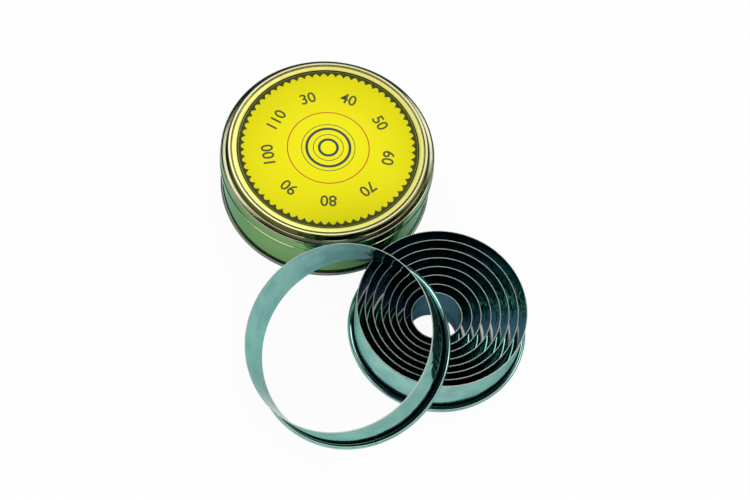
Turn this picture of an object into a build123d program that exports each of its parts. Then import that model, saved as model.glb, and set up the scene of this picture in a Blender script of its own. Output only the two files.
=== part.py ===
from build123d import *
import math
import os

os.makedirs("parts", exist_ok=True)

# A boxed set of plain round biscuit cutters: a round tin with a slip-on lid, the smaller cutters
# nested beside it with their cutting edges up, and the largest one leaning on the nest.
# Lengths are in millimetres and angles in degrees, +Z is up and the set stands on Z = 0.
# The origin is the middle of the set's footprint.

# The cutters: a band of strip steel with its lower edge curled outwards into a hollow bead
LARGEST_DIAMETER = 110.0
SMALLEST_DIAMETER = 30.0
CUTTER_COUNT = 9
CUTTER_HEIGHT = 32.5
STRIP_T = 0.5
NEST_PLAY = 1.2          # room left between one bead and the band around it
CURL_GAP = 0.15          # between the curled cut edge and the band
EDGE_LAND = 0.2          # thickness left at the cutting edge
BEVEL_HEIGHT = 0.8
SLIT_WIDTH = 0.4         # where the ends of the strip meet in the bead
SLIT_RELIEF = 0.05       # kept between the slit and the band

# How the cutters lie: the nested ones have slid towards the front, each at its own bearing
NEST_GAP = 0.22          # left between a bead and the band that it has slid against
SLIDE_BEARINGS = [-96.0, -110.0, -84.0, -124.0, -136.0, -104.0, -139.0]
SLIT_BEARING = 62.0
SLIT_TURN = 137.5        # from one nested cutter's slit to the next one's
LEAN_BEARING = -147.9    # the way the leaning cutter's foot lies
LEAN_CROSSING = 61.42    # from that way to where its bead crosses the edge that it lies on
LEAN_GAP = 0.25          # between the leaning bead and that edge
TILT_ROUNDS = 8          # the leaning cutter's tilt is worked out in this many rounds
LEAN_SLIT_BEARING = 79.0
TIN_BEARING = 131.8      # from the nest to the tin
TIN_GAP = 0.35           # least room between the tin and the leaning cutter
NEST_TIN_GAP = 1.0       # least room between the tin and the nest

# The tin: a seamed body, a pressed base folded round its foot and a pressed lid
TIN_SHEET = 0.35
TIN_PLAY = 4.35          # around the largest cutter inside the tin
MOUTH_ROOM = 4.0         # above a cutter standing in the tin
PANEL_RECESS = 2.2       # base panel above the table
SEAM_HEIGHT = 3.4
SEAM_REACH = 1.6         # the foot seam stands out from the body
SEAM_CLEAR = 0.06        # between the sheets in the foot seam
HOOK_HEIGHT = 1.9
HOOK_GAP = 0.4           # between the body and its folded hook
HOOK_R = 0.3             # bend radius of the hook's middle line
MOUTH_CURL = 1.5
FOLD_R = 0.45            # bend radius of the sheet's middle line
LAP_WIDTH = 4.0
LAP_CLEAR = 1.2          # the side lap stops short of the base and of the mouth curl
LAP_BEARING = 90.0

SKIRT_GAP = 1.05         # between the body and the lid's skirt
SKIRT_DROP = 12.2        # from the lid's shoulder to its lower edge
SEAT_GAP = 0.3           # between the body's mouth and the lid
HEM_HEIGHT = 4.0
HEM_BULGE_HEIGHT = 3.0   # of the hem's straight outer face
HEM_REACH = 0.5          # the rolled hem stands out from the skirt
HEM_TURN_UP = 1.3
HEM_CLEAR = 0.4          # between the hem and the body
SHOULDER_WIDTH = 3.2
STEP_WIDTH = 1.0
STEP_HEIGHT = 3.9        # from the shoulder to the lid's crest
CREST_WIDTH = 1.7
GROOVE_WIDTH = 1.0
GROOVE_DROP = 0.8        # from the crest to the groove
BORDER_WIDTH = 2.6
BORDER_RISE = 0.35       # the ring between the groove and the panel
BORDER_EDGE = 0.6
SHOULDER_R = 0.9
CREST_R = 0.6
SOFT_R = 0.3
LABEL_T = 0.12
LABEL_MARGIN = 0.45      # of panel left bare around the label

OVERRUN = 2.0            # cutting tools run this far past what they cut

# Worked out from the sizes above
ring_step = (LARGEST_DIAMETER - SMALLEST_DIAMETER) / (CUTTER_COUNT - 1) / 2
bead_r = (ring_step - NEST_PLAY) / 2
bead_reach = 2 * bead_r - STRIP_T
largest_r = LARGEST_DIAMETER / 2
nest_radii = [largest_r - k * ring_step for k in range(1, CUTTER_COUNT)]

body_inner_r = largest_r + bead_reach + TIN_PLAY
body_mid_r = body_inner_r + TIN_SHEET / 2
body_outer_r = body_inner_r + TIN_SHEET
seam_outer_r = body_outer_r + SEAM_REACH
mouth_z = PANEL_RECESS + TIN_SHEET + CUTTER_HEIGHT + MOUTH_ROOM
skirt_mid_r = body_outer_r + SKIRT_GAP + TIN_SHEET / 2
hem_outer_r = skirt_mid_r + TIN_SHEET / 2 + HEM_REACH
shoulder_z = mouth_z + SEAT_GAP + TIN_SHEET / 2
skirt_foot_z = shoulder_z + TIN_SHEET / 2 - SKIRT_DROP
crest_z = shoulder_z + STEP_HEIGHT
groove_z = crest_z - GROOVE_DROP
border_z = groove_z + BORDER_RISE


def polar(radius, bearing):
    """A point on the ground at a distance and bearing."""
    return Vector(radius * math.cos(math.radians(bearing)), radius * math.sin(math.radians(bearing)))


def sheet_side(points, radii, side):
    """One face line of a bent sheet: its middle line moved half the thickness to the left or right."""
    middle = [Vector(r, 0, z) for r, z in points]
    runs = [(b - a).normalized() for a, b in zip(middle, middle[1:])]
    normals = [Vector(-run.Z, 0, run.X) * (side * TIN_SHEET / 2) for run in runs]
    moved = [middle[0] + normals[0]]
    bends = []
    for corner, before, after, run, radius in zip(middle[1:], normals, normals[1:], runs, radii):
        spread = before + after
        moved.append(corner + spread * (TIN_SHEET * TIN_SHEET / 2 / spread.dot(spread)))
        bends.append(radius + math.copysign(TIN_SHEET / 2, after.dot(run)))
    moved.append(middle[-1] + normals[-1])
    return moved, bends


def sheet_ring(points, radii):
    """Pressed sheet: a path of the sheet's middle line in (r, z), bent at its corners, spun round Z."""
    left, left_bends = sheet_side(points, radii, 1)
    right, right_bends = sheet_side(points, radii, -1)
    faces = [FilletPolyline(*left, radius=left_bends), FilletPolyline(*right, radius=right_bends)]
    ends = [Line(left[0], right[0]), Line(left[-1], right[-1])]
    edges = [edge for line in faces + ends for edge in line.edges()]
    return revolve(Face(Wire.combine(edges)[0]), axis=Axis.Z)


def cutter_section(radius):
    """Half section of a cutter of this outer radius, standing on its bead."""
    inner = radius - STRIP_T
    centre = Vector(inner + bead_r, 0, bead_r)
    small_r = bead_r - STRIP_T
    start = 180
    end = math.degrees(math.acos(-(bead_r - STRIP_T - CURL_GAP) / bead_r))
    middle = (end - start) / 2

    def on_curl(r, angle):
        return centre + Vector(r * math.cos(math.radians(angle)), 0, r * math.sin(math.radians(angle)))

    band = Polyline(
        on_curl(bead_r, start),
        Vector(inner, 0, CUTTER_HEIGHT),
        Vector(inner + EDGE_LAND, 0, CUTTER_HEIGHT),
        Vector(radius, 0, CUTTER_HEIGHT - BEVEL_HEIGHT),
        on_curl(small_r, start),
    )
    inside = ThreePointArc(on_curl(small_r, start), on_curl(small_r, middle), on_curl(small_r, end))
    lip = Line(on_curl(small_r, end), on_curl(bead_r, end))
    outside = ThreePointArc(on_curl(bead_r, end), on_curl(bead_r, middle), on_curl(bead_r, start))
    return Face(Wire([*band.edges(), inside, lip, outside]))


def cutter(radius, slit_bearing):
    """One cutter standing on its bead at the origin, with a slit across the bead where the strip's ends meet."""
    ring = revolve(cutter_section(radius), axis=Axis.Z)
    slit_from = radius + SLIT_RELIEF
    slit_length = bead_reach + OVERRUN
    slit_height = 2 * bead_r + 2 * OVERRUN
    slit = Box(slit_length, SLIT_WIDTH, slit_height, align=(Align.MIN, Align.CENTER, Align.MIN))
    slit = Rot(0, 0, slit_bearing) * Pos(slit_from, 0, -OVERRUN) * slit
    return ring - slit


def lean_place():
    """The leaning cutter's tilt, and its middle's way out and up from the nest's foot, when it lies on both."""
    edge_r = nest_radii[0] - STRIP_T + EDGE_LAND / 2
    run_r = largest_r - STRIP_T + bead_r
    half_chord = edge_r * math.sin(math.radians(LEAN_CROSSING))
    back = math.sqrt(run_r * run_r - half_chord * half_chord)
    tilt = 0
    for _ in range(TILT_ROUNDS):
        rise = CUTTER_HEIGHT - bead_r + (bead_r + LEAN_GAP) / math.cos(tilt)
        tilt = math.asin(rise / (run_r + back))
    along = edge_r * math.cos(math.radians(LEAN_CROSSING))
    reach = along - bead_r * math.sin(tilt) + back * math.cos(tilt)
    height = bead_r * (1 - math.cos(tilt)) + run_r * math.sin(tilt)
    return math.degrees(tilt), reach, height


lean_tilt, lean_reach, lean_height = lean_place()
lean_centre = polar(lean_reach, LEAN_BEARING) + Vector(0, 0, lean_height)
lean_turn = Rot(0, 0, LEAN_BEARING) * Rot(0, lean_tilt, 0)


def tin_distance():
    """How far the tin stands from the nest to clear the nest and the leaning cutter."""
    along = polar(1, TIN_BEARING)
    across = polar(1, TIN_BEARING + 90)
    tin_r = max(seam_outer_r, hem_outer_r)
    clear = tin_r + TIN_GAP
    nearest = nest_radii[0] + bead_reach + seam_outer_r + NEST_TIN_GAP
    for bearing in range(360):
        rim = Pos(polar(largest_r + bead_reach, bearing)) * Pos(0, 0, bead_r)
        point = (Pos(lean_centre) * lean_turn * rim).position
        aside = point.dot(across)
        if abs(aside) < clear:
            nearest = max(nearest, point.dot(along) + math.sqrt(clear * clear - aside * aside))
    return nearest


parts = {}

# The tin, with its axis at the origin until the whole set is centred
body_foot_z = TIN_SHEET + SEAM_CLEAR + TIN_SHEET / 2
hook_r = body_mid_r + TIN_SHEET + HOOK_GAP
mouth_r = body_mid_r - MOUTH_CURL
body_wall = sheet_ring(
    [
        (hook_r, body_foot_z + HOOK_HEIGHT),
        (hook_r, body_foot_z),
        (body_mid_r, body_foot_z),
        (body_mid_r, mouth_z - TIN_SHEET / 2),
        (mouth_r, mouth_z - TIN_SHEET / 2),
        (mouth_r, mouth_z - TIN_SHEET / 2 - MOUTH_CURL),
    ],
    [HOOK_R, HOOK_R, FOLD_R, FOLD_R],
)
lap_from = PANEL_RECESS + TIN_SHEET + LAP_CLEAR
lap_to = mouth_z - TIN_SHEET - MOUTH_CURL - LAP_CLEAR
lap_inner_r = body_inner_r - TIN_SHEET
lap_turn = math.degrees(LAP_WIDTH / body_inner_r)
lap_section = Polyline(
    (lap_inner_r, 0, lap_from),
    (body_mid_r, 0, lap_from),
    (body_mid_r, 0, lap_to),
    (lap_inner_r, 0, lap_to),
    close=True,
)
lap = revolve(Face(Wire(lap_section.edges())), axis=Axis.Z, revolution_arc=lap_turn)
parts["tin_body"] = body_wall + Rot(0, 0, LAP_BEARING - lap_turn / 2) * lap

panel_z = PANEL_RECESS + TIN_SHEET / 2
chuck_r = body_inner_r - SEAM_CLEAR - TIN_SHEET / 2
foot_r = seam_outer_r - TIN_SHEET / 2
cover_r = body_outer_r + SEAM_CLEAR
parts["tin_base"] = sheet_ring(
    [
        (0, panel_z),
        (chuck_r, panel_z),
        (chuck_r, TIN_SHEET / 2),
        (foot_r, TIN_SHEET / 2),
        (foot_r, SEAM_HEIGHT - TIN_SHEET / 2),
        (cover_r, SEAM_HEIGHT - TIN_SHEET / 2),
    ],
    [FOLD_R, FOLD_R, FOLD_R, FOLD_R],
)

hem_inner_r = body_outer_r + HEM_CLEAR + TIN_SHEET / 2
hem_bulge_r = hem_outer_r - TIN_SHEET / 2
shoulder_inner_r = skirt_mid_r - SHOULDER_WIDTH
crest_outer_r = shoulder_inner_r - STEP_WIDTH
crest_inner_r = crest_outer_r - CREST_WIDTH
groove_r = crest_inner_r - GROOVE_WIDTH / 2
border_outer_r = groove_r - GROOVE_WIDTH / 2
border_inner_r = border_outer_r - BORDER_WIDTH
panel_r = border_inner_r - BORDER_EDGE
parts["tin_lid"] = sheet_ring(
    [
        (hem_inner_r, skirt_foot_z + HEM_TURN_UP),
        (hem_inner_r, skirt_foot_z + TIN_SHEET / 2),
        (hem_bulge_r, skirt_foot_z + TIN_SHEET / 2),
        (hem_bulge_r, skirt_foot_z + HEM_BULGE_HEIGHT),
        (skirt_mid_r, skirt_foot_z + HEM_HEIGHT),
        (skirt_mid_r, shoulder_z),
        (shoulder_inner_r, shoulder_z),
        (crest_outer_r, crest_z),
        (crest_inner_r, crest_z),
        (groove_r, groove_z),
        (border_outer_r, border_z),
        (border_inner_r, border_z),
        (panel_r, groove_z),
        (0, groove_z),
    ],
    [FOLD_R, FOLD_R, SHOULDER_R, SHOULDER_R, SHOULDER_R, CREST_R, CREST_R, CREST_R, SOFT_R, SOFT_R, SOFT_R, SOFT_R],
)
label_r = panel_r - LABEL_MARGIN
label = Cylinder(label_r, LABEL_T, align=(Align.CENTER, Align.CENTER, Align.MIN))
parts["lid_label"] = Pos(0, 0, groove_z + TIN_SHEET / 2) * label

# The nest, each cutter slid against the one around it, and the largest cutter leaning on it.
# The cutters are numbered from the smallest, as they are when such a set is sold.
nest_place = polar(tin_distance(), TIN_BEARING + 180)
slide = NEST_PLAY - NEST_GAP
ring_place = nest_place
for k, radius in enumerate(nest_radii):
    if k > 0:
        ring_place = ring_place + polar(slide, SLIDE_BEARINGS[(k - 1) % len(SLIDE_BEARINGS)])
    ring = cutter(radius, SLIT_BEARING + k * SLIT_TURN)
    parts[f"cutter_{CUTTER_COUNT - 1 - k}"] = Pos(ring_place) * ring
leaning = cutter(largest_r, LEAN_SLIT_BEARING)
parts[f"cutter_{CUTTER_COUNT}"] = Pos(nest_place + lean_centre) * lean_turn * leaning

# Centre the footprint on the origin and write one file for each piece
box = Compound(list(parts.values())).bounding_box()
centring = Pos(-(box.min.X + box.max.X) / 2, -(box.min.Y + box.max.Y) / 2, 0)
for name, shape in parts.items():
    export_step(centring * shape, f"parts/{name}.step")

tin_place = Vector(centring.position)
print("tin axis", tin_place, "nest middle", tin_place + nest_place)
print("leaning cutter", tin_place + nest_place + lean_centre, "tilt", lean_tilt)
print("set", box.size, "lid crest", crest_z + TIN_SHEET / 2, "label top", groove_z + TIN_SHEET / 2 + LABEL_T)
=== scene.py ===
# %% [markdown]
# A boxed set of plain round biscuit cutters: nine bands of strip steel, each with its lower edge
# curled outwards into a bead. Eight lie nested with their cutting edges up, the largest leans on
# them, and the round tin that they are kept in stands behind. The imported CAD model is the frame:
# every piece made here stands where its CAD node stands, and rides on the same body.

# %% Load the frame
import bpy, bmesh, math
from mathutils import Matrix, Vector


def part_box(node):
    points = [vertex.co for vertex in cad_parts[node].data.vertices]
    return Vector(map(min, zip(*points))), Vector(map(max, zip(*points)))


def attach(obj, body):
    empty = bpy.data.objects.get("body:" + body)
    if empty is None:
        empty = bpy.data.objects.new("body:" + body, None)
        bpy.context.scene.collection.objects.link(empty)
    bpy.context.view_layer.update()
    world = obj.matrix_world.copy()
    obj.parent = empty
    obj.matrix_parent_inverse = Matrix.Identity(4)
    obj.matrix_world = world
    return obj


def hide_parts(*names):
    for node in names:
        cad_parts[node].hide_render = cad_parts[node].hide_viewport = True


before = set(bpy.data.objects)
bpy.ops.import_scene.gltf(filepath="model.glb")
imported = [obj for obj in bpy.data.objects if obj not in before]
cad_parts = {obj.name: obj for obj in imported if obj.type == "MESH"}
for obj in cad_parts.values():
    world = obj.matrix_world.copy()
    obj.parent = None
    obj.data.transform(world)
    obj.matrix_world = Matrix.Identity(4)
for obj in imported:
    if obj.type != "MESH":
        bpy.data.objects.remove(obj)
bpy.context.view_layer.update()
MM = 0.001
CUTTERS = [f"cutter_{number}" for number in range(1, 10)]
LEANING = CUTTERS[-1]
tin_low, tin_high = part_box("tin_base")
TIN_AXIS = Vector(((tin_low.x + tin_high.x) / 2, (tin_low.y + tin_high.y) / 2, 0))
print("pieces in the frame", sorted(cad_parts), "tin axis", TIN_AXIS)

# %% [markdown]
# The camera stands where the photographer stood: high in front of the set, looking down at about 63
# degrees, with the frame turned a little clockwise. Its place is written from the middle of the
# nest, so it keeps its view of the pieces.

# %% Camera
CAMERA_FROM_NEST = Vector((-53.3, -417.9, 900.8)) * MM
CAMERA_DOWN = 62.69
CAMERA_TURN = -1.29
CAMERA_ROLL = 9.35
LENS = 79.75

nest_low, nest_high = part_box(CUTTERS[-2])
nest_middle = Vector(((nest_low.x + nest_high.x) / 2, (nest_low.y + nest_high.y) / 2, 0))
camera_data = bpy.data.cameras.new("camera")
camera_data.lens = LENS
camera_data.clip_start = 0.01
camera_data.clip_end = 100
camera = bpy.data.objects.new("camera", camera_data)
bpy.context.scene.collection.objects.link(camera)
camera.matrix_world = (
    Matrix.Translation(nest_middle + CAMERA_FROM_NEST)
    @ Matrix.Rotation(math.radians(CAMERA_TURN), 4, "Z")
    @ Matrix.Rotation(math.radians(90 - CAMERA_DOWN), 4, "X")
    @ Matrix.Rotation(math.radians(CAMERA_ROLL), 4, "Z")
)
bpy.context.scene.camera = camera
bpy.context.scene.view_settings.view_transform = "Standard"
print("camera at", camera.location)

# %% [markdown]
# Every node tree below is written with one small helper. It adds a node, sets its options, and for
# each input either sets a plain value or links another node's output.

# %% Node helpers
def put(tree, kind, options, values):
    """A new node with these options; a value is a number, colour or name, or an output to link."""
    made = tree.nodes.new(kind)
    for name, value in options.items():
        setattr(made, name, value)
    for key, value in values.items():
        if isinstance(value, bpy.types.NodeSocket):
            tree.links.new(value, made.inputs[key])
        else:
            made.inputs[key].default_value = value
    return made


def calc(tree, operation, *values):
    """The result of a Math node."""
    return put(tree, "ShaderNodeMath", {"operation": operation}, dict(enumerate(values))).outputs[0]


def remap(tree, value, from_low, from_high, to_low=0.0, to_high=1.0, kind="SMOOTHSTEP"):
    """A value carried over from one range to another, and held at its ends."""
    ends = {0: value, 1: from_low, 2: from_high, 3: to_low, 4: to_high}
    return put(tree, "ShaderNodeMapRange", {"interpolation_type": kind}, ends).outputs[0]


def mix_colour(tree, share, first, second):
    """Two colours mixed by a share."""
    options = {"data_type": "RGBA"}
    return put(tree, "ShaderNodeMix", options, {0: share, 6: first, 7: second}).outputs[2]


def socket_in(tree, name, kind, value=None):
    """A named input of a node group."""
    made = tree.interface.new_socket(name, in_out="INPUT", socket_type="NodeSocket" + kind)
    if value is not None:
        made.default_value = value
    return made.identifier


def socket_out(tree, name, kind):
    """A named output of a node group."""
    tree.interface.new_socket(name, in_out="OUTPUT", socket_type="NodeSocket" + kind)


# %% [markdown]
# The set stands on a plain white table. The camera sees the table's white as it is, with only a
# faint shadow, and painted shade from ambient occlusion darkens it in the narrow slits between the
# cutters. What the metal mirrors is a second answer of the same material: a table with painted shade
# that darkens with a wider ambient occlusion and towards +X, and painted light that lifts the slits
# towards +X, so the walls of the cutters and of the tin turn darker towards their feet.

# %% Table
TABLE_HALF = 1.6
TABLE_DROP = 0.02 * MM
SHADE_REACH = 60 * MM
SLIT_REACH = 10 * MM
SLIT_SHADE = 0.22
OPEN_SHADE = 0.36
SHADOW_SHARE = 0.06
SLIT_COLOUR = (0.006, 0.012, 0.012, 1)
MIRRORED_SLIT = (0.005, 0.010, 0.022, 1)
MIRRORED_SLIT_LIT = (0.08, 0.19, 0.28, 1)
LIT_FROM = (0.050, 0.082)
SHADED_TABLE = (0.03, 0.06, 0.15, 1)
TABLE_WHITE = (0.92, 0.92, 0.92, 1)
MIRRORED_SHADE = (0.04, 0.6)
MIRRORED_SIDE_SHADE = (-0.06, 0.10, 1.0, 0.78)

table_mesh = bpy.data.meshes.new("table")
corners = [(-TABLE_HALF, -TABLE_HALF, 0), (TABLE_HALF, -TABLE_HALF, 0), (TABLE_HALF, TABLE_HALF, 0)]
table_mesh.from_pydata(corners + [(-TABLE_HALF, TABLE_HALF, 0)], [], [(0, 1, 2, 3)])
table_top = bpy.data.objects.new("table", table_mesh)
bpy.context.scene.collection.objects.link(table_top)
table_top.location.z = -TABLE_DROP

table_finish = bpy.data.materials.new("white table")
table_finish.use_nodes = True
tree = table_finish.node_tree
tree.nodes.clear()
shade = put(tree, "ShaderNodeAmbientOcclusion", {"samples": 32}, {"Distance": SHADE_REACH}).outputs["AO"]
slit = put(tree, "ShaderNodeAmbientOcclusion", {"samples": 32}, {"Distance": SLIT_REACH}).outputs["AO"]
opened = remap(tree, slit, SLIT_SHADE, OPEN_SHADE)
# painted shade: the table that the camera sees is darkened by ambient occlusion in the slits
seen = mix_colour(tree, opened, SLIT_COLOUR, (1, 1, 1, 1))
spot = put(tree, "ShaderNodeNewGeometry", {}, {}).outputs["Position"]
across = put(tree, "ShaderNodeSeparateXYZ", {}, {0: spot}).outputs[0]
# painted shade: the table that the metal mirrors grows darker towards +X
side_shade = remap(tree, across, *MIRRORED_SIDE_SHADE)
share = remap(tree, shade, *MIRRORED_SHADE, 0.0, 1.0, "LINEAR")
mirrored = mix_colour(tree, calc(tree, "MULTIPLY", share, side_shade), SHADED_TABLE, (1, 1, 1, 1))
# painted light: the mirrored slits turn lighter beyond about 50 mm towards +X
in_slit = mix_colour(tree, remap(tree, across, *LIT_FROM), MIRRORED_SLIT, MIRRORED_SLIT_LIT)
mirrored = mix_colour(tree, opened, in_slit, mirrored)
ray = put(tree, "ShaderNodeLightPath", {}, {})
lit = put(tree, "ShaderNodeBsdfDiffuse", {}, {"Color": TABLE_WHITE})
pale = put(tree, "ShaderNodeEmission", {}, {"Color": seen})
echo = put(tree, "ShaderNodeEmission", {}, {"Color": mirrored})
to_camera = put(
    tree, "ShaderNodeMixShader", {},
    {0: SHADOW_SHARE, 1: pale.outputs[0], 2: lit.outputs[0]},
)
through = calc(tree, "MAXIMUM", ray.outputs["Is Glossy Ray"], ray.outputs["Is Transmission Ray"])
others = put(tree, "ShaderNodeMixShader", {}, {0: through, 1: lit.outputs[0], 2: echo.outputs[0]})
first = put(
    tree, "ShaderNodeMixShader", {},
    {0: ray.outputs["Is Camera Ray"], 1: others.outputs[0], 2: to_camera.outputs[0]},
)
put(tree, "ShaderNodeOutputMaterial", {}, {0: first.outputs[0]})
table_mesh.materials.append(table_finish)
print("table", 2 * TABLE_HALF, "m across, with", len(tree.nodes), "shader nodes")

# %% [markdown]
# Polished metal has no look of its own: it shows what is around it. So the room is plain white to the
# camera and lights matt things evenly, but in reflections it is dark, with a few soft boxes high at
# the back and one long warm strip low in front. They draw the pale and dark lines along the rims.

# %% Room and lights
ROOM_DARK = (0.012, 0.022, 0.032, 1)
ROOM_LIGHT = 1.0
SOFT_BOXES = [
    # bearing from the set, height above the table, half width, brightness
    (87.0, 60.0, 9.0, 2.6),
    (120.0, 61.0, 11.0, 2.2),
    (68.0, 49.0, 8.0, 2.2),
    (169.0, 50.0, 12.0, 0.4),
    (30.0, 32.0, 9.0, 1.0),
    (8.0, 24.0, 12.0, 2.0),
    (90.0, 80.0, 8.0, 0.2),
]
BOX_EDGE = 4.0
STRIP_LOW = 16.0
STRIP_HIGH = 36.0
STRIP_EDGE = 2.5
STRIP_BRIGHTNESS = 1.8
STRIP_WARM = (1.0, 0.8, 0.72, 1)
STRIP_BEARING = -85.0
STRIP_SPREAD = 110.0
STRIP_FADE_SHARE = 0.4

world = bpy.data.worlds.new("studio")
bpy.context.scene.world = world
world.use_nodes = True
tree = world.node_tree
tree.nodes.clear()
ray = put(tree, "ShaderNodeLightPath", {}, {})
heading = put(tree, "ShaderNodeTexCoord", {}, {}).outputs["Generated"]
glow = 0.0
for bearing, height, half_width, brightness in SOFT_BOXES:
    flat = math.cos(math.radians(height))
    towards = (
        flat * math.cos(math.radians(bearing)),
        flat * math.sin(math.radians(bearing)),
        math.sin(math.radians(height)),
    )
    nearness = put(tree, "ShaderNodeVectorMath", {"operation": "DOT_PRODUCT"}, {0: heading, 1: towards})
    outer = math.cos(math.radians(half_width + BOX_EDGE))
    inner = math.cos(math.radians(half_width - BOX_EDGE))
    spot = remap(tree, nearness.outputs["Value"], outer, inner, 0.0, brightness)
    glow = calc(tree, "ADD", glow, spot)
rise = put(tree, "ShaderNodeSeparateXYZ", {}, {0: heading}).outputs[2]
slope = calc(tree, "ARCSINE", rise)
low, high, edge = (math.radians(angle) for angle in (STRIP_LOW, STRIP_HIGH, STRIP_EDGE))
strip = calc(
    tree, "MULTIPLY",
    remap(tree, slope, low - edge, low + edge),
    remap(tree, slope, high - edge, high + edge, 1.0, 0.0),
)
facing = (math.cos(math.radians(STRIP_BEARING)), math.sin(math.radians(STRIP_BEARING)), 0)
nearness = put(tree, "ShaderNodeVectorMath", {"operation": "DOT_PRODUCT"}, {0: heading, 1: facing})
spread = math.cos(math.radians(STRIP_SPREAD))
front = remap(tree, nearness.outputs["Value"], spread, spread + STRIP_FADE_SHARE, 0.0, STRIP_BRIGHTNESS)
strip = calc(tree, "MULTIPLY", strip, front)
dark = put(tree, "ShaderNodeBackground", {}, {"Color": ROOM_DARK})
boxes = put(tree, "ShaderNodeBackground", {}, {"Color": (1, 1, 1, 1), "Strength": glow})
warm = put(tree, "ShaderNodeBackground", {}, {"Color": STRIP_WARM, "Strength": strip})
lights = put(tree, "ShaderNodeAddShader", {}, {0: boxes.outputs[0], 1: warm.outputs[0]})
reflected = put(tree, "ShaderNodeAddShader", {}, {0: dark.outputs[0], 1: lights.outputs[0]})
even = put(tree, "ShaderNodeBackground", {}, {"Color": (1, 1, 1, 1), "Strength": ROOM_LIGHT})
white = put(tree, "ShaderNodeBackground", {}, {"Color": (1, 1, 1, 1)})
through = calc(tree, "MAXIMUM", ray.outputs["Is Glossy Ray"], ray.outputs["Is Transmission Ray"])
unseen = put(tree, "ShaderNodeMixShader", {}, {0: through, 1: even.outputs[0], 2: reflected.outputs[0]})
first = put(
    tree, "ShaderNodeMixShader", {},
    {0: ray.outputs["Is Camera Ray"], 1: unseen.outputs[0], 2: white.outputs[0]},
)
put(tree, "ShaderNodeOutputWorld", {}, {0: first.outputs[0]})
print("soft boxes", len(SOFT_BOXES))

# %% [markdown]
# Polished strip is never quite clean. It has fine lines along the way it was rolled, short marks
# across it from handling, and faint smears that dull it. One shader group makes all three from a
# point on the metal, and each material that uses it sets how wavy the metal is and how deep its bump
# goes.

# %% Wear group
# features for each metre, along X, Y and Z
ROLLING_LINES = (110, 110, 2600)
MARKS = (900, 900, 70)
SMEARS = (70, 70, 55)
WAVES = (26, 26, 34)
RIPPLES = (150, 150, 90)
RIPPLE_SHARE = 0.6
LINE_DEPTH_SHARE = 0.012
MARK_DEPTH_SHARE = -0.02


def noise(tree, place, stretch, detail=2.0, distortion=0.0):
    """Noise over a place that is stretched by three scales, in features for each metre."""
    stretched = put(tree, "ShaderNodeVectorMath", {"operation": "MULTIPLY"}, {0: place, 1: stretch})
    values = {"Vector": stretched.outputs[0], "Scale": 1.0, "Detail": detail, "Distortion": distortion}
    return put(tree, "ShaderNodeTexNoise", {}, values).outputs[0]


def make_wear():
    tree = bpy.data.node_groups.new("metal wear", "ShaderNodeTree")
    socket_in(tree, "Place", "Vector")
    socket_in(tree, "Waviness", "Float", 0.3)
    for name in ("Rolling Lines", "Marks", "Smears", "Height"):
        socket_out(tree, name, "Float")
    given = put(tree, "NodeGroupInput", {}, {})
    place = given.outputs["Place"]
    lines = noise(tree, place, ROLLING_LINES, 3.0)
    marks = remap(tree, noise(tree, place, MARKS, 2.0, 0.6), 0.66, 0.74)
    smears = remap(tree, noise(tree, place, SMEARS, 3.0, 0.4), 0.35, 0.68)
    waves = noise(tree, place, WAVES, 1.0)
    ripples = calc(tree, "MULTIPLY", noise(tree, place, RIPPLES, 1.0, 0.5), RIPPLE_SHARE)
    rise = calc(tree, "MULTIPLY", calc(tree, "ADD", waves, ripples), given.outputs["Waviness"])
    fine = calc(tree, "MULTIPLY", lines, LINE_DEPTH_SHARE)
    scored = calc(tree, "MULTIPLY", marks, MARK_DEPTH_SHARE)
    height = calc(tree, "ADD", rise, calc(tree, "ADD", fine, scored))
    put(
        tree, "NodeGroupOutput", {},
        {"Rolling Lines": lines, "Marks": marks, "Smears": smears, "Height": height},
    )
    return tree


WEAR = make_wear()
print("wear group", [socket.name for socket in WEAR.interface.items_tree])


def wear_on(tree, place, waviness):
    """The wear group placed in a material."""
    return put(tree, "ShaderNodeGroup", {"node_tree": WEAR}, {"Place": place, "Waviness": waviness})


# %% [markdown]
# The cutters are polished stainless strip. Each carries its own place as an attribute, measured from
# its middle with the joint of the strip at +X, so one material serves all nine. A second attribute
# says how wavy the band is there: rolled strip is least true on the inside. The cutting edge is
# ground, which leaves it paler and duller than the band, and a fine line shows where the ends of the
# strip were welded. The crease between band and bead is darkened by ambient occlusion: painted shade.

# %% Strip steel
STEEL = (0.32, 0.59, 0.53, 1)
STEEL_SMEARED = (0.25, 0.48, 0.45, 1)
STEEL_EDGE_TINT = (0.42, 0.58, 0.55, 1)
FOOT_WAVES = 0.25
FOOT_WAVES_TO = (4.0 * MM, 12.0 * MM)
CREASE_REACH = 2.4 * MM
CREASE_SHADE = (0.42, 0.72)
CREASE_PAINTED_SHADE = (0.012, 0.018, 0.018, 1)
GROUND = (0.55, 0.66, 0.58, 1)
GROUND_DEPTH = 0.75 * MM
CUTTER_HEIGHT = nest_high.z - nest_low.z
WELD_WIDTH = 0.45 * MM
WELD_SHARE = 0.6
WELD_RISE_SHARE = 0.05
STEEL_ROUGH = (0.05, 0.14)
GROUND_ROUGH = 0.35
STEEL_BUMP = 0.35 * MM


def new_material(name):
    """An empty material with a Principled shader, ready for its inputs."""
    made = bpy.data.materials.new(name)
    made.use_nodes = True
    tree = made.node_tree
    tree.nodes.clear()
    shader = put(tree, "ShaderNodeBsdfPrincipled", {}, {})
    put(tree, "ShaderNodeOutputMaterial", {}, {0: shader.outputs[0]})
    return made, tree, shader


def link_to(tree, shader, **values):
    """Links outputs to, or sets values on, the inputs of a shader."""
    for name, value in values.items():
        socket = shader.inputs[name.replace("_", " ")]
        if isinstance(value, bpy.types.NodeSocket):
            tree.links.new(value, socket)
        else:
            socket.default_value = value


def bump(tree, height, strength, distance):
    """A Bump node's normal."""
    values = {"Height": height, "Strength": strength, "Distance": distance}
    return put(tree, "ShaderNodeBump", {}, values).outputs[0]


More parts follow.
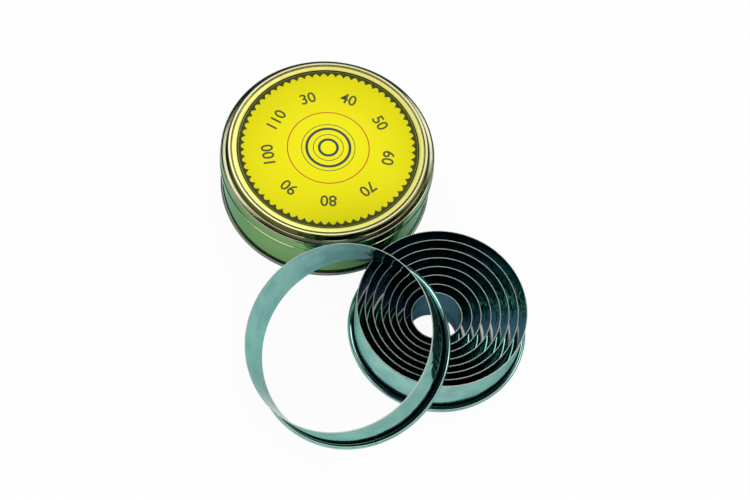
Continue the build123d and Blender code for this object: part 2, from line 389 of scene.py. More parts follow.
def make_steel():
    steel, tree, shader = new_material("strip steel")
    place = put(tree, "ShaderNodeAttribute", {"attribute_name": "cutter_place"}, {}).outputs["Vector"]
    axes = put(tree, "ShaderNodeSeparateXYZ", {}, {0: place}).outputs
    loose = put(tree, "ShaderNodeAttribute", {"attribute_name": "band_waves"}, {}).outputs["Fac"]
    waves = remap(tree, axes[2], *FOOT_WAVES_TO, FOOT_WAVES, loose)
    wear = wear_on(tree, place, waves).outputs
    edge = remap(tree, axes[2], CUTTER_HEIGHT - GROUND_DEPTH, CUTTER_HEIGHT - GROUND_DEPTH * 0.7)
    aside = calc(tree, "ABSOLUTE", axes[1])
    weld = remap(tree, aside, WELD_WIDTH * 0.3, WELD_WIDTH, 1.0, 0.0)
    weld = calc(tree, "MULTIPLY", weld, calc(tree, "GREATER_THAN", axes[0], 0.0))
    dull = calc(tree, "MAXIMUM", wear["Smears"], wear["Marks"])
    band = mix_colour(tree, dull, STEEL, STEEL_SMEARED)
    band = mix_colour(tree, calc(tree, "MULTIPLY", weld, WELD_SHARE), band, STEEL_SMEARED)
    # painted shade: ambient occlusion darkens the crease between band and bead
    nook = put(tree, "ShaderNodeAmbientOcclusion", {"samples": 8}, {"Distance": CREASE_REACH})
    unshaded = remap(tree, nook.outputs["AO"], *CREASE_SHADE)
    band = mix_colour(tree, unshaded, CREASE_PAINTED_SHADE, band)
    rough = remap(tree, wear["Smears"], 0.0, 1.0, *STEEL_ROUGH, "LINEAR")
    rough = calc(tree, "ADD", rough, calc(tree, "MULTIPLY", edge, GROUND_ROUGH))
    height = calc(tree, "ADD", wear["Height"], calc(tree, "MULTIPLY", weld, WELD_RISE_SHARE))
    link_to(
        tree, shader,
        Base_Color=mix_colour(tree, edge, band, GROUND),
        Roughness=rough,
        Metallic=remap(tree, edge, 0.0, 1.0, 1.0, 0.3, "LINEAR"),
        Specular_Tint=STEEL_EDGE_TINT,
        Normal=bump(tree, height, 1.0, STEEL_BUMP),
    )
    return steel


STRIP_STEEL = make_steel()
print("cutter height", round(CUTTER_HEIGHT / MM, 2), "mm")
print("steel with", len(STRIP_STEEL.node_tree.nodes), "nodes")

# %% [markdown]
# A cutter follows a rule: one section, spun round, at nine sizes. So one Geometry Nodes tree makes
# them all. It draws the section from lines and two arcs, joins them into a loop, sweeps the loop
# round a circle, and cuts the slit where the ends of the strip meet in the bead.

# %% Cutter tree
SECTION_STEPS = 28
MERGE_WITHIN = 0.002 * MM
LENGTHS = ("Radius", "Height", "Strip", "Bead Radius", "Curl Gap", "Edge Land", "Bevel", "Slit Width")


def make_cutter_tree():
    tree = bpy.data.node_groups.new("spun cutter", "GeometryNodeTree")
    tree.is_modifier = True
    names = {"Geometry": socket_in(tree, "Geometry", "Geometry")}
    for name in LENGTHS + ("Inside Waves", "Outside Waves"):
        names[name] = socket_in(tree, name, "Float", 1.0)
    names["Steps"] = socket_in(tree, "Steps", "Int", 64)
    names["Material"] = socket_in(tree, "Material", "Material")
    socket_out(tree, "Geometry", "Geometry")
    size = put(tree, "NodeGroupInput", {}, {}).outputs

    def point(x, y):
        return put(tree, "ShaderNodeCombineXYZ", {}, {0: x, 1: y}).outputs[0]

    def line(start, end):
        return put(tree, "GeometryNodeCurvePrimitiveLine", {}, {"Start": start, "End": end}).outputs[0]

    inner = calc(tree, "MULTIPLY", size["Strip"], -1.0)
    small = calc(tree, "SUBTRACT", size["Bead Radius"], size["Strip"])
    over = calc(tree, "SUBTRACT", size["Curl Gap"], small)
    end = calc(tree, "ARCCOSINE", calc(tree, "DIVIDE", over, size["Bead Radius"]))
    middle = point(small, size["Bead Radius"])
    top = size["Height"]
    foot = size["Bead Radius"]
    corners = [
        point(inner, foot),
        point(inner, top),
        point(calc(tree, "ADD", inner, size["Edge Land"]), top),
        point(0.0, calc(tree, "SUBTRACT", top, size["Bevel"])),
        point(0.0, foot),
    ]
    pieces = [line(a, b) for a, b in zip(corners, corners[1:])]
    ends = []
    for radius in (small, size["Bead Radius"]):
        arc = put(
            tree, "GeometryNodeCurveArc", {"mode": "RADIUS"},
            {
                "Resolution": SECTION_STEPS,
                "Radius": radius,
                "Start Angle": math.pi,
                "Sweep Angle": calc(tree, "ADD", end, math.pi),
            },
        )
        moved = put(
            tree, "GeometryNodeTransform", {},
            {"Geometry": arc.outputs[0], "Translation": middle},
        )
        pieces.append(moved.outputs[0])
        away = point(
            calc(tree, "MULTIPLY", radius, calc(tree, "COSINE", end)),
            calc(tree, "MULTIPLY", radius, calc(tree, "SINE", end)),
        )
        end_point = put(tree, "ShaderNodeVectorMath", {"operation": "ADD"}, {0: middle, 1: away})
        ends.append(end_point.outputs[0])
    pieces.append(line(*ends))
    joined = tree.nodes.new("GeometryNodeJoinGeometry")
    for piece in pieces:
        tree.links.new(piece, joined.inputs[0])
    wires = put(tree, "GeometryNodeCurveToMesh", {}, {"Curve": joined.outputs[0]})
    loop = put(
        tree, "GeometryNodeMergeByDistance", {},
        {"Geometry": wires.outputs[0], "Distance": MERGE_WITHIN},
    )
    section = put(tree, "GeometryNodeMeshToCurve", {}, {"Mesh": loop.outputs[0]})
    upright = put(
        tree, "GeometryNodeTransform", {},
        {"Geometry": section.outputs[0], "Scale": (1, -1, 1)},
    )
    path = put(
        tree, "GeometryNodeCurvePrimitiveCircle", {"mode": "RADIUS"},
        {"Resolution": size["Steps"], "Radius": size["Radius"]},
    )
    spun = put(
        tree, "GeometryNodeCurveToMesh", {},
        {"Curve": path.outputs[0], "Profile Curve": upright.outputs[0]},
    )
    reach = calc(tree, "MULTIPLY", size["Bead Radius"], 4.0)
    cut_size = put(tree, "ShaderNodeCombineXYZ", {}, {0: reach, 1: size["Slit Width"], 2: reach})
    knife = put(tree, "GeometryNodeMeshCube", {}, {"Size": cut_size.outputs[0]})
    out = calc(tree, "ADD", size["Radius"], calc(tree, "MULTIPLY", reach, 0.5))
    out = calc(tree, "ADD", out, calc(tree, "MULTIPLY", size["Curl Gap"], 0.33))
    knife_at = put(tree, "ShaderNodeCombineXYZ", {}, {0: out}).outputs[0]
    knife = put(
        tree, "GeometryNodeTransform", {},
        {"Geometry": knife.outputs[0], "Translation": knife_at},
    )
    slit = put(
        tree, "GeometryNodeMeshBoolean", {"operation": "DIFFERENCE", "solver": "EXACT"},
        {"Mesh 1": spun.outputs[0], "Mesh 2": knife.outputs[0]},
    )
    here = tree.nodes.new("GeometryNodeInputPosition").outputs[0]
    spot = put(tree, "ShaderNodeSeparateXYZ", {}, {0: here})
    squares = [calc(tree, "MULTIPLY", axis, axis) for axis in spot.outputs[:2]]
    away = calc(tree, "SQRT", calc(tree, "ADD", *squares))
    middle_line = calc(tree, "MULTIPLY_ADD", size["Strip"], -0.5, size["Radius"])
    inside = calc(tree, "LESS_THAN", away, middle_line)
    more = calc(tree, "SUBTRACT", size["Inside Waves"], size["Outside Waves"])
    waved = put(
        tree, "GeometryNodeStoreNamedAttribute", {"data_type": "FLOAT", "domain": "POINT"},
        {
            "Geometry": slit.outputs[0],
            "Name": "band_waves",
            "Value": calc(tree, "MULTIPLY_ADD", inside, more, size["Outside Waves"]),
        },
    )
    finish_tree(tree, waved.outputs[0], size["Material"], "cutter_place")
    return tree, names


SHARP = math.radians(34)


def finish_tree(tree, shape, material, place_name):
    """Smooths all but sharp edges, keeps each point's place, and ends in real faces with a material."""
    angle = put(tree, "GeometryNodeInputMeshEdgeAngle", {}, {}).outputs[0]
    soft = calc(tree, "LESS_THAN", angle, SHARP)
    smooth = put(tree, "GeometryNodeSetShadeSmooth", {"domain": "FACE"}, {"Geometry": shape})
    creased = put(
        tree, "GeometryNodeSetShadeSmooth", {"domain": "EDGE"},
        {"Geometry": smooth.outputs[0], "Shade Smooth": soft},
    )
    place = put(tree, "GeometryNodeInputPosition", {}, {}).outputs[0]
    kept = put(
        tree, "GeometryNodeStoreNamedAttribute", {"data_type": "FLOAT_VECTOR", "domain": "POINT"},
        {"Geometry": creased.outputs[0], "Name": place_name, "Value": place},
    )
    real = put(tree, "GeometryNodeRealizeInstances", {}, {"Geometry": kept.outputs[0]})
    dressed = put(
        tree, "GeometryNodeSetMaterial", {},
        {"Geometry": real.outputs[0], "Material": material},
    )
    put(tree, "NodeGroupOutput", {}, {0: dressed.outputs[0]})


CUTTER_TREE, CUTTER_INPUTS = make_cutter_tree()
print("cutter tree takes", sorted(CUTTER_INPUTS))

# %% [markdown]
# A tree's result is turned into a plain mesh, and only then put in its place, so that the piece's
# object stays at the origin. A spun shape can come out inside out, so the sign of its volume is
# looked at, and its faces are turned if it is negative.

# %% From tree to piece
def run_tree(carrier, tree, values, modifiers=()):
    """The mesh that a tree makes from a carrier object, which is then thrown away."""
    bpy.context.scene.collection.objects.link(carrier)
    modifier = carrier.modifiers.new("tree", "NODES")
    modifier.node_group = tree
    for identifier, value in values.items():
        modifier[identifier] = value
    for kind, options in modifiers:
        extra = carrier.modifiers.new(kind, kind)
        for name, value in options.items():
            setattr(extra, name, value)
    seen = carrier.evaluated_get(bpy.context.evaluated_depsgraph_get())
    mesh = bpy.data.meshes.new_from_object(seen)
    bpy.data.objects.remove(carrier)
    return mesh


def piece_from(mesh, name, place, body, nodes=()):
    """A finished piece: its mesh put in its place, its faces outwards, riding on its body."""
    work = bmesh.new()
    work.from_mesh(mesh)
    if work.calc_volume(signed=True) < 0:
        bmesh.ops.reverse_faces(work, faces=work.faces)
    work.to_mesh(mesh)
    volume = work.calc_volume()
    work.free()
    mesh.transform(place)
    mesh.name = name
    made = bpy.data.objects.new(name, mesh)
    bpy.context.scene.collection.objects.link(made)
    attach(made, body)
    if nodes:
        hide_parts(*nodes)
    print(name, len(mesh.polygons), "faces", round(volume / MM**3), "mm3")
    return made


# %% [markdown]
# The nested cutters stand upright, so their middles come straight from their boxes. The leaning one
# is tilted, so its CAD mesh is turned back upright first and its middle read there. The tilt is the
# one at which its bead lies on the edge of the cutter below.

# %% Cutters
STRIP = 0.5 * MM
BEAD_RADIUS = 1.9 * MM
CURL_GAP = 0.15 * MM
EDGE_LAND = 0.2 * MM
BEVEL = 0.8 * MM
SLIT_WIDTH = 0.4 * MM
STEP_LENGTH = 0.9 * MM
BAND_WAVES = 1.6
NESTED_INSIDE_WAVES = 3.2
LEAN_BEARING = -147.9
LEAN_TILT = 20.9
LEAN_SLIT = 79.0
SLIT_BEARING = 62.0
SLIT_TURN = 137.5

bead_reach = 2 * BEAD_RADIUS - STRIP


def cutter_place(node):
    """Where a cutter stands, with the slit at +X, and its outer radius."""
    if node == LEANING:
        turn = (
            Matrix.Rotation(math.radians(LEAN_BEARING), 4, "Z")
            @ Matrix.Rotation(math.radians(LEAN_TILT), 4, "Y")
            @ Matrix.Rotation(math.radians(LEAN_SLIT), 4, "Z")
        )
    else:
        number = len(CUTTERS) - 2 - CUTTERS.index(node)
        turn = Matrix.Rotation(math.radians(SLIT_BEARING + number * SLIT_TURN), 4, "Z")
    upright = [turn.transposed() @ vertex.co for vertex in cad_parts[node].data.vertices]
    low = Vector(min(p[axis] for p in upright) for axis in range(3))
    high = Vector(max(p[axis] for p in upright) for axis in range(3))
    foot = Vector(((low.x + high.x) / 2, (low.y + high.y) / 2, low.z))
    reach = max((Vector((p.x, p.y)) - Vector((foot.x, foot.y))).length for p in upright)
    return Matrix.Translation(turn @ foot) @ turn, reach - bead_reach


for node in CUTTERS:
    place, radius = cutter_place(node)
    sizes = {
        "Radius": radius,
        "Height": CUTTER_HEIGHT,
        "Strip": STRIP,
        "Bead Radius": BEAD_RADIUS,
        "Curl Gap": CURL_GAP,
        "Edge Land": EDGE_LAND,
        "Bevel": BEVEL,
        "Slit Width": SLIT_WIDTH,
        "Inside Waves": BAND_WAVES if node == LEANING else NESTED_INSIDE_WAVES,
        "Outside Waves": BAND_WAVES,
        "Steps": int(math.tau * radius / STEP_LENGTH),
        "Material": STRIP_STEEL,
    }
    values = {CUTTER_INPUTS[name]: value for name, value in sizes.items()}
    carrier = bpy.data.objects.new("carrier", bpy.data.meshes.new("carrier"))
    mesh = run_tree(carrier, CUTTER_TREE, values)
    piece_from(mesh, node + "_band", place, node.replace("cutter", "ring"), [node])
    print(node, "radius", round(radius / MM, 2), "at", place.translation)

# %% [markdown]
# The tin is tinplate under a clear gold lacquer. Its body, base and lid are pressed from thin sheet,
# so each is drawn as the middle line of its section, with a bend radius at every corner. A second
# Geometry Nodes tree rounds the corners and spins the line, and Solidify gives it the sheet's
# thickness. The lines are measured from the CAD boxes, so they stay true to the frame.

# %% Sheet tree
BEND_STEPS = 7
SPIN_RADIUS = 10 * MM


def make_sheet_tree():
    tree = bpy.data.node_groups.new("spun sheet", "GeometryNodeTree")
    tree.is_modifier = True
    names = {"Geometry": socket_in(tree, "Geometry", "Geometry")}
    names["Steps"] = socket_in(tree, "Steps", "Int", 64)
    names["Material"] = socket_in(tree, "Material", "Material")
    socket_out(tree, "Geometry", "Geometry")
    given = put(tree, "NodeGroupInput", {}, {}).outputs
    bend = put(tree, "GeometryNodeInputRadius", {}, {}).outputs[0]
    line = put(
        tree, "GeometryNodeFilletCurve", {"mode": "POLY"},
        {"Curve": given["Geometry"], "Count": BEND_STEPS, "Radius": bend, "Limit Radius": True},
    )
    laid = put(
        tree, "GeometryNodeTransform", {},
        {
            "Geometry": line.outputs[0],
            "Translation": (-SPIN_RADIUS, 0, 0),
            "Rotation": (math.pi / 2, 0, 0),
        },
    )
    path = put(
        tree, "GeometryNodeCurvePrimitiveCircle", {"mode": "RADIUS"},
        {"Resolution": given["Steps"], "Radius": SPIN_RADIUS},
    )
    spun = put(
        tree, "GeometryNodeCurveToMesh", {},
        {"Curve": path.outputs[0], "Profile Curve": laid.outputs[0]},
    )
    closed = put(
        tree, "GeometryNodeMergeByDistance", {},
        {"Geometry": spun.outputs[0], "Distance": MERGE_WITHIN},
    )
    finish_tree(tree, closed.outputs[0], given["Material"], "sheet_place")
    return tree, names


SHEET_TREE, SHEET_INPUTS = make_sheet_tree()


def spun_sheet(line, bends, thickness, material):
    """A mesh spun from a sheet's middle line of (radius, height) points, bent at each inner one."""
    curve = bpy.data.curves.new("middle line", "CURVE")
    curve.dimensions = "3D"
    spline = curve.splines.new("POLY")
    spline.points.add(len(line) - 1)
    for point, (radius, height), bend in zip(spline.points, line, [0.0, *bends, 0.0]):
        point.co = (radius, 0, height, 1)
        point.radius = bend
    steps = int(math.tau * max(radius for radius, _ in line) / STEP_LENGTH)
    values = {SHEET_INPUTS["Steps"]: steps, SHEET_INPUTS["Material"]: material}
    wall = {"thickness": thickness, "offset": 0.0, "use_even_offset": True}
    carrier = bpy.data.objects.new("carrier", curve)
    return run_tree(carrier, SHEET_TREE, values, [("SOLIDIFY", wall)])


# %% [markdown]
# The tin's measures come from its CAD boxes. The lid's rings are counted inwards from its hem: the
# skirt, the shoulder, the step up to the raised crest, a groove, a flat border and the label's panel.

# %% Tin measures
SHEET = 0.35 * MM
SEAM_REACH = 1.6 * MM
SEAM_HEIGHT = 3.2 * MM
HEM_REACH = 0.5 * MM
HEM_HEIGHT = 3.9 * MM
SHOULDER_WIDTH = 3.2 * MM
SHOULDER_FALL = 0.4 * MM
STEP_WIDTH = 1.0 * MM
STEP_HEIGHT = 3.9 * MM
CREST_WIDTH = 1.7 * MM
GROOVE_WIDTH = 1.0 * MM
GROOVE_DROP = 0.8 * MM
BORDER_WIDTH = 2.6 * MM
BORDER_EDGE = 0.6 * MM

lid_low, lid_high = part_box("tin_lid")
body_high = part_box("tin_body")[1]
foot_radius = (tin_high.x - tin_low.x) / 2
wall_radius = foot_radius - SEAM_REACH - SHEET / 2
hem_radius = (lid_high.x - lid_low.x) / 2 - SHEET / 2
skirt_radius = hem_radius - HEM_REACH
crest_height = lid_high.z - SHEET / 2
shoulder_height = crest_height - STEP_HEIGHT
groove_height = crest_height - GROOVE_DROP
step_radius = skirt_radius - SHOULDER_WIDTH
crest_outer = step_radius - STEP_WIDTH
crest_inner = crest_outer - CREST_WIDTH
border_outer = crest_inner - GROOVE_WIDTH
border_inner = border_outer - BORDER_WIDTH
panel_radius = border_inner - BORDER_EDGE
rings = (hem_radius, skirt_radius, step_radius, crest_outer, crest_inner, border_outer, border_inner)
print("rings of the lid, in mm from its axis", [round(radius / MM, 2) for radius in rings])

# %% [markdown]
# The lacquer looks green-gold on the upright walls and yellow to cream on the lid's pressed rings,
# where it is thin or rubbed. Painted light makes the wall lighter and more teal towards +X and -X,
# the rings carry painted shade on the step's riser and at the panel's edge, and the hem has a dark
# painted shade line above it and a pale painted highlight on its top. It is one metallic finish
# whose colour follows the height, the distance from the axis and the side, glossy, with the same
# wear as the steel.

# %% Lacquer
LACQUER_WALL = (0.19, 0.35, 0.14, 1)
LACQUER_OUTER_SIDE_PAINTED_LIGHT = (0.25, 0.48, 0.32, 1)
LACQUER_INNER_SIDE_PAINTED_LIGHT = (0.32, 0.57, 0.36, 1)
LACQUER_EDGE_TINT = (0.45, 0.58, 0.52, 1)
LACQUER_WORN = (0.30, 0.36, 0.17, 1)
HEM_PAINTED_HIGHLIGHT = (0.45, 0.56, 0.34, 1)
HEM_CREASE_SHADE = (0.03, 0.06, 0.02, 1)
SEAM_TIN = (0.25, 0.28, 0.24, 1)
PANEL_SHADE = 0.4 * MM
BORDER_SHADE = 0.5 * MM
STEP_SHADE = 0.2 * MM
STEP_LINE = 0.1 * MM
RING_TONES = [
    # distance from the axis, and the lacquer's colour there
    # the dark stops at the panel's edge and on the step's riser are painted shade
    (panel_radius + PANEL_SHADE, (0.075, 0.085, 0.022, 1)),
    (border_inner + BORDER_SHADE, (0.28, 0.26, 0.06, 1)),
    (border_outer, (0.36, 0.34, 0.10, 1)),
    (crest_inner, (0.31, 0.30, 0.16, 1)),
    (crest_outer, (0.31, 0.30, 0.16, 1)),
    (crest_outer + STEP_SHADE, (0.095, 0.09, 0.015, 1)),
    (step_radius - STEP_LINE, (0.095, 0.09, 0.015, 1)),
    (step_radius + STEP_LINE, (0.40, 0.41, 0.26, 1)),
]
SIDE_FROM_SHARE = 0.70
LINE_SOFT = 0.2 * MM
TOP_FROM = 0.9 * MM
TOP_TO = 0.3 * MM
TIN_WAVES = 0.2
WORN_SHARE = 0.5
LACQUER_ROUGH = (0.07, 0.16)
LACQUER_BUMP = 0.25 * MM


def on_tin(tree):
    """A place on the tin, measured from its axis."""
    spot = put(tree, "ShaderNodeTexCoord", {}, {}).outputs["Object"]
    moved = put(tree, "ShaderNodeMapping", {}, {"Vector": spot, "Location": -TIN_AXIS})
    return moved.outputs[0]


def from_axis(tree, axes):
    """How far a place is from the axis."""
    squares = [calc(tree, "MULTIPLY", axis, axis) for axis in (axes[0], axes[1])]
    return calc(tree, "SQRT", calc(tree, "ADD", *squares))


def ring_tone(tree, distance):
    """The colour of the lid's rings at a distance from the axis."""
    first, last = RING_TONES[0][0], RING_TONES[-1][0]
    ramp = put(tree, "ShaderNodeValToRGB", {}, {0: remap(tree, distance, first, last, kind="LINEAR")})
    stops = ramp.color_ramp.elements
    stops[0].color, stops[1].color = RING_TONES[0][1], RING_TONES[-1][1]
    for radius, colour in RING_TONES[1:-1]:
        stops.new((radius - first) / (last - first)).color = colour
    return ramp.outputs[0]


def make_lacquer():
    lacquer, tree, shader = new_material("gold lacquer")
    place = on_tin(tree)
    axes = put(tree, "ShaderNodeSeparateXYZ", {}, {0: place}).outputs
    distance = from_axis(tree, axes)
    wear = wear_on(tree, place, TIN_WAVES).outputs
    # painted light: the wall and skirt turn lighter and more teal towards +X and towards -X
    near_side_light = remap(tree, axes[0], wall_radius * SIDE_FROM_SHARE, wall_radius)
    far_side_light = remap(tree, axes[0], -wall_radius, -wall_radius * SIDE_FROM_SHARE, 1.0, 0.0)
    colour = mix_colour(tree, near_side_light, LACQUER_WALL, LACQUER_INNER_SIDE_PAINTED_LIGHT)
    colour = mix_colour(tree, far_side_light, colour, LACQUER_OUTER_SIDE_PAINTED_LIGHT)

    outside = calc(tree, "GREATER_THAN", distance, skirt_radius - LINE_SOFT)
    hem_top = lid_low.z + HEM_HEIGHT
    # painted shade: a dark line on the skirt just above the hem
    above_hem = calc(tree, "ABSOLUTE", calc(tree, "SUBTRACT", axes[2], hem_top + LINE_SOFT))
    crease = remap(tree, above_hem, LINE_SOFT * 0.5, LINE_SOFT * 1.5, 1.0, 0.0)
    colour = mix_colour(tree, calc(tree, "MULTIPLY", crease, outside), colour, HEM_CREASE_SHADE)
    # painted highlight: a pale band round the top of the hem
    up_hem = calc(tree, "ABSOLUTE", calc(tree, "SUBTRACT", axes[2], hem_top - HEM_REACH / 2))
    hem_highlight = remap(tree, up_hem, HEM_REACH * 0.4, HEM_REACH * 0.6, 1.0, 0.0)
    colour = mix_colour(tree, calc(tree, "MULTIPLY", hem_highlight, outside), colour, HEM_PAINTED_HIGHLIGHT)

    low = remap(tree, axes[2], SEAM_HEIGHT, SEAM_HEIGHT + LINE_SOFT, 1.0, 0.0)
    proud = calc(tree, "GREATER_THAN", distance, wall_radius + SHEET)
    colour = mix_colour(tree, calc(tree, "MULTIPLY", low, proud), colour, SEAM_TIN)

    edge_height = shoulder_height - SHOULDER_FALL
    top = remap(tree, axes[2], edge_height - TOP_FROM, edge_height - TOP_TO)
    colour = mix_colour(tree, top, colour, ring_tone(tree, distance))
    colour = mix_colour(tree, calc(tree, "MULTIPLY", wear["Marks"], WORN_SHARE), colour, LACQUER_WORN)
    link_to(
        tree, shader,
        Base_Color=colour,
        Roughness=remap(tree, wear["Smears"], 0.0, 1.0, *LACQUER_ROUGH, "LINEAR"),
        Metallic=1.0,
        Specular_Tint=LACQUER_EDGE_TINT,
        Normal=bump(tree, wear["Height"], 1.0, LACQUER_BUMP),
    )
    return lacquer


LACQUER = make_lacquer()
print("lacquer with", len(LACQUER.node_tree.nodes), "nodes")

# %% [markdown]
# The body's foot is hooked and caught in the base, which is folded round it: that is the double line
# at the foot of the tin. Its mouth is curled inwards, and a strip inside laps over the joint.

# %% Tin body and base
FOLD = 0.45 * MM
SEAM_ROLL = 0.9 * MM
SEAM_CLEAR = 0.06 * MM
PANEL_RECESS = 2.2 * MM
HOOK_HEIGHT = 1.7 * MM
HOOK_GAP = 0.4 * MM
HOOK_BEND = 0.3 * MM
MOUTH_CURL = 1.5 * MM
LAP_WIDTH = 4.0 * MM
LAP_CLEAR = 1.2 * MM
LAP_BEARING = 90.0
LAP_STEPS = 8

hook_radius = wall_radius + SHEET + HOOK_GAP
hook_foot = SHEET + SEAM_CLEAR + SHEET / 2
mouth_height = body_high.z - SHEET / 2
to_tin = Matrix.Translation(TIN_AXIS)

body_mesh = spun_sheet(
    [
        (hook_radius, hook_foot + HOOK_HEIGHT),
        (hook_radius, hook_foot),
        (wall_radius, hook_foot),
        (wall_radius, mouth_height),
        (wall_radius - MOUTH_CURL, mouth_height),
        (wall_radius - MOUTH_CURL, mouth_height - MOUTH_CURL),
    ],
    [HOOK_BEND, HOOK_BEND, FOLD, FOLD],
    SHEET,
    LACQUER,
)
piece_from(body_mesh, "tin_body_wall", to_tin, "tin", ["tin_body"])

panel_height = PANEL_RECESS + SHEET / 2
base_mesh = spun_sheet(
    [
        (0, panel_height),
        (wall_radius - SHEET - SEAM_CLEAR, panel_height),
        (wall_radius - SHEET - SEAM_CLEAR, SHEET / 2),
        (foot_radius - SHEET / 2, SHEET / 2),
        (foot_radius - SHEET / 2, SEAM_HEIGHT - SHEET / 2),
        (wall_radius + SHEET / 2 + SEAM_CLEAR, SEAM_HEIGHT - SHEET / 2),
    ],
    [FOLD, FOLD, FOLD, SEAM_ROLL],
    SHEET,
    LACQUER,
)
piece_from(base_mesh, "tin_base_panel", to_tin, "tin", ["tin_base"])

lap = bmesh.new()
lap_low, lap_high = panel_height + SHEET, mouth_height - MOUTH_CURL - LAP_CLEAR
rows = []
for step in range(LAP_STEPS + 1):
    bearing = math.radians(LAP_BEARING) + LAP_WIDTH / wall_radius * (step / LAP_STEPS - 0.5)
    row = []
    for radius in (wall_radius - SHEET / 2, wall_radius - SHEET * 1.5):
        for height in (lap_low, lap_high):
            row.append(lap.verts.new((radius * math.cos(bearing), radius * math.sin(bearing), height)))
    rows.append([row[0], row[1], row[3], row[2]])
for one, other in zip(rows, rows[1:]):
    for corner in range(4):
        after = (corner + 1) % 4
        lap.faces.new([one[corner], one[after], other[after], other[corner]])
lap.faces.new(rows[0][::-1])
lap.faces.new(rows[-1])
lap_mesh = bpy.data.meshes.new("lap")
lap.to_mesh(lap_mesh)
lap.free()
lap_mesh.materials.append(LACQUER)
piece_from(lap_mesh, "tin_body_lap", to_tin, "tin")

# %% [markdown]
# The lid's section runs from its rolled hem up the skirt, over the shoulder and the raised crest,
# down into a groove, and over the flat border to the panel that the label is stuck on. The top of
# the hem and the foot of the step are short flats at about 45 degrees: they catch the strip light.

# %% Tin lid
HEM_TURN_UP = 1.3 * MM
HEM_CLEAR = 0.4 * MM
HEM_BEND = 0.25 * MM
BORDER_RISE = 0.35 * MM
SHOULDER_BEND = 1.5 * MM
STEP_FLAT = 0.35 * MM
CREST_BEND = 0.6 * MM
SOFT_BEND = 0.3 * MM

hem_inner = wall_radius + SHEET + HEM_CLEAR

lid_mesh = spun_sheet(
    [
        (hem_inner, lid_low.z + HEM_TURN_UP),
        (hem_inner, lid_low.z + SHEET / 2),
        (hem_radius, lid_low.z + SHEET / 2),
        (hem_radius, lid_low.z + HEM_HEIGHT - HEM_REACH),
        (skirt_radius, lid_low.z + HEM_HEIGHT),
        (skirt_radius, shoulder_height - SHOULDER_FALL),
        (step_radius + STEP_FLAT, shoulder_height),
        (step_radius, shoulder_height + STEP_FLAT),
        (crest_outer, crest_height),
        (crest_inner, crest_height),
        (crest_inner - GROOVE_WIDTH / 2, groove_height),
        (border_outer, groove_height + BORDER_RISE),
        (border_inner, groove_height + BORDER_RISE),
        (panel_radius, groove_height),
        (0, groove_height),
    ],
    [FOLD, FOLD, HEM_BEND, HEM_BEND, SHOULDER_BEND, HEM_BEND, HEM_BEND, CREST_BEND, CREST_BEND]
    + [CREST_BEND, SOFT_BEND, SOFT_BEND, SOFT_BEND],
    SHEET,
    LACQUER,
)
piece_from(lid_mesh, "tin_lid_pressing", to_tin, "lid", ["tin_lid"])

# %% [markdown]
# The label is a varnished paper disc. A toothed dark ring runs round its edge, as on many labels,
# and the middle holds a plain print: thin rings and the nine sizes, set round like figures on a dial.
# The rings and teeth are worked out in the material from the distance and bearing from the middle.

# %% Label
LABEL_YELLOW = (0.94, 0.87, 0.004, 1)
LABEL_FADED = (0.88, 0.79, 0.005, 1)
LABEL_OLIVE = (0.075, 0.085, 0.022, 1)
LABEL_SLATE = (0.045, 0.075, 0.11, 1)
LABEL_RED = (0.55, 0.02, 0.035, 1)
TEETH = 66
TOOTH_DEPTH = 2.3 * MM
TOOTHED_RING = 1.5 * MM
label_low, label_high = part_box("lid_label")
label_radius = (label_high.x - label_low.x) / 2
SLATE_RINGS = [
    # radius and width
    (16.0 * MM, 0.35 * MM),
    (13.0 * MM, 1.5 * MM),
    (9.0 * MM, 0.35 * MM),
    (5.5 * MM, 1.5 * MM),
]
RED_RING = (24.5 * MM, 0.45 * MM)
PRINT_SOFT = 0.12 * MM
PAPER_BUMP = 0.02 * MM


def printed_ring(tree, distance, radius, width):
    """A mask that is 1 on a printed circle of this radius and width."""
    off = calc(tree, "ABSOLUTE", calc(tree, "SUBTRACT", distance, radius))
    return remap(tree, off, width / 2, width / 2 + PRINT_SOFT, 1.0, 0.0)


def make_label_print():
    label, tree, shader = new_material("label print")
    place = on_tin(tree)
    axes = put(tree, "ShaderNodeSeparateXYZ", {}, {0: place}).outputs
    distance = from_axis(tree, axes)
    bearing = calc(tree, "ARCTAN2", axes[1], axes[0])
    scallop = calc(tree, "ABSOLUTE", calc(tree, "SINE", calc(tree, "MULTIPLY", bearing, TEETH / 2)))
    inward = calc(tree, "MULTIPLY", calc(tree, "SUBTRACT", 1.0, scallop), TOOTH_DEPTH)
    start = calc(tree, "SUBTRACT", label_radius - TOOTHED_RING, inward)
    teeth = remap(tree, calc(tree, "SUBTRACT", distance, start), 0.0, PRINT_SOFT)
    grain = noise(tree, place, (2500, 2500, 2500), 2.0)
    yellow = mix_colour(tree, remap(tree, grain, 0.3, 0.7, 0.0, 0.12), LABEL_YELLOW, LABEL_FADED)
    colour = mix_colour(tree, teeth, yellow, LABEL_OLIVE)
    for radius, width in SLATE_RINGS:
        colour = mix_colour(tree, printed_ring(tree, distance, radius, width), colour, LABEL_SLATE)
    colour = mix_colour(tree, printed_ring(tree, distance, *RED_RING), colour, LABEL_RED)
    link_to(
        tree, shader,
        Base_Color=colour,
        Roughness=remap(tree, grain, 0.0, 1.0, 0.38, 0.5, "LINEAR"),
        Specular_IOR_Level=0.12,
        Normal=bump(tree, grain, 0.2, PAPER_BUMP),
    )
    return label


LABEL_PRINT = make_label_print()
label_thickness = label_high.z - label_low.z
label_mesh = spun_sheet(
    [(0, label_low.z + label_thickness / 2), (label_radius, label_low.z + label_thickness / 2)],
    [],
    label_thickness,
    LABEL_PRINT,
)
piece_from(label_mesh, "label_disc", to_tin, "lid", ["lid_label"])

# %% [markdown]
# The nine sizes stand in a ring on the label, all upright from the middle outwards, as flat meshes
# that lie on the paper.

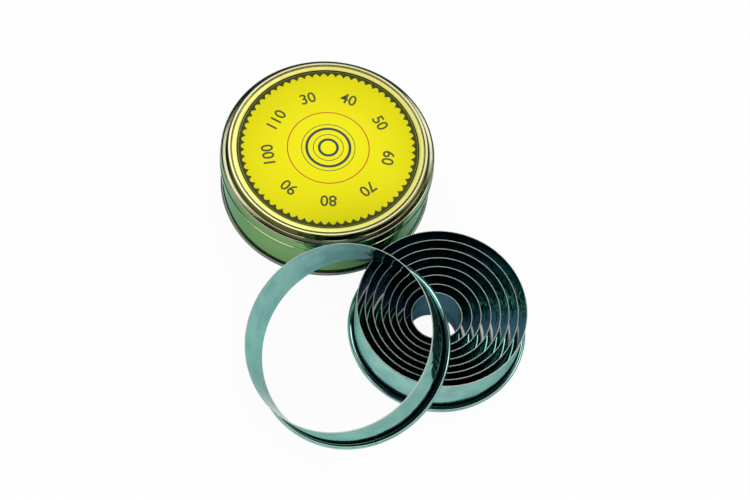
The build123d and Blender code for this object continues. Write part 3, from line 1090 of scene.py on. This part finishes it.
# %% Label figures
FIGURE_SIZES = range(30, 120, 10)
FIGURE_HEIGHT = 10.0 * MM
FIGURE_WEIGHT = 0.14 * MM
FIGURE_RADIUS = 36.0 * MM
FIGURE_THICKNESS = 0.01 * MM
FIGURE_LIFT = 0.008 * MM
FIGURE_START = 118.0


def make_ink(name, colour):
    """Printing ink: a matt colour that is a little uneven."""
    ink, tree, shader = new_material(name)
    grain = noise(tree, on_tin(tree), (1800, 1800, 1800), 2.0)
    lighter = tuple(min(1.0, channel * 1.5 + 0.01) for channel in colour[:3]) + (1,)
    link_to(
        tree, shader,
        Base_Color=mix_colour(tree, remap(tree, grain, 0.35, 0.75), colour, lighter),
        Roughness=remap(tree, grain, 0.0, 1.0, 0.4, 0.55, "LINEAR"),
        Specular_IOR_Level=0.15,
    )
    return ink


def figure_mesh(text, size):
    """A number as a flat mesh, centred on its own middle."""
    font = bpy.data.curves.new("figure", "FONT")
    font.body = text
    font.size = size
    font.align_x = "CENTER"
    font.align_y = "CENTER"
    font.extrude = FIGURE_THICKNESS / 2
    font.offset = FIGURE_WEIGHT
    carrier = bpy.data.objects.new("figure", font)
    bpy.context.scene.collection.objects.link(carrier)
    seen = carrier.evaluated_get(bpy.context.evaluated_depsgraph_get())
    mesh = bpy.data.meshes.new_from_object(seen)
    bpy.data.objects.remove(carrier)
    return mesh


figures = bmesh.new()
for count, number in enumerate(FIGURE_SIZES):
    turn = math.radians(FIGURE_START - count * 360 / len(FIGURE_SIZES))
    mesh = figure_mesh(str(number), FIGURE_HEIGHT)
    out = Matrix.Rotation(turn, 4, "Z") @ Matrix.Translation((FIGURE_RADIUS, 0, 0))
    upright = Matrix.Rotation(math.radians(-90), 4, "Z")
    mesh.transform(Matrix.Translation((0, 0, label_high.z + FIGURE_LIFT)) @ out @ upright)
    figures.from_mesh(mesh)
figure_sheet = bpy.data.meshes.new("figures")
figures.to_mesh(figure_sheet)
figures.free()
figure_sheet.materials.append(make_ink("olive ink", LABEL_OLIVE))
piece_from(figure_sheet, "label_figures", to_tin, "lid")
